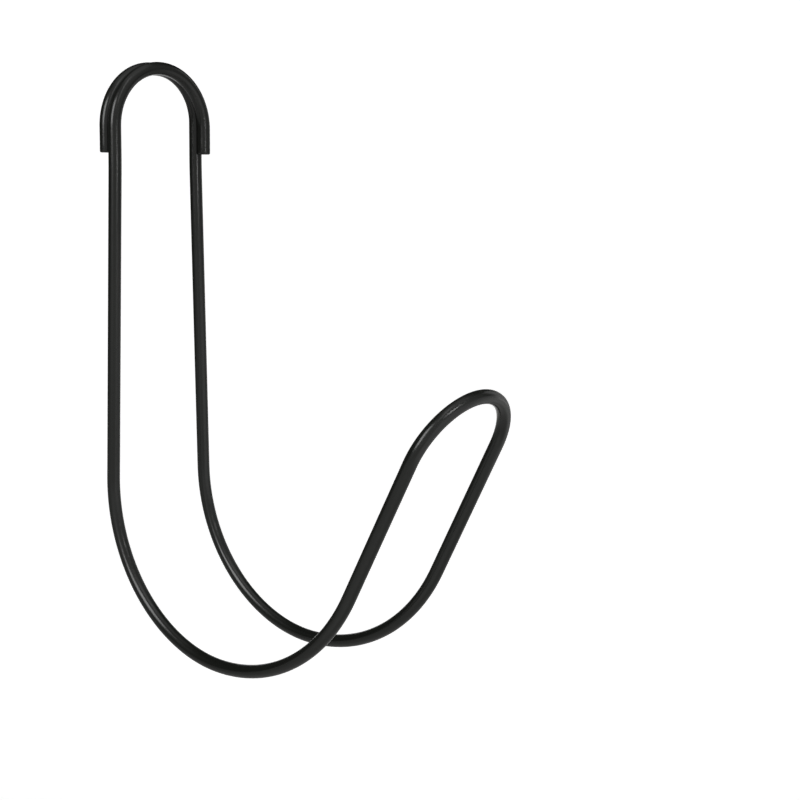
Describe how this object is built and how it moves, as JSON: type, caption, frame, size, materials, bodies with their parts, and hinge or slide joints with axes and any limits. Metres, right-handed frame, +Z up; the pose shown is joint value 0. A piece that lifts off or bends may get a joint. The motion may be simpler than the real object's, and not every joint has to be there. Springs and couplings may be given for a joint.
{
  "type": "hose hanger",
  "caption": "Bent round-rod hanger that saddles a garden tap with a lapped double arch and carries hose coils in a deep forward cradle with a raised nose.",
  "frame": {"origin": "underside of the arch's crown, halfway between its two strands, where the hanger rests on the tap", "axes": "+Z up, +X forward from the legs to the nose, +Y across the hanger"},
  "size_m": [0.2031, 0.0638, 0.271],
  "materials": {
    "black_coating": "satin black plastic coating on steel rod"
  },
  "bodies": {
    "root": {"hanger_rod": "black_coating"}
  },
  "joints": []
}
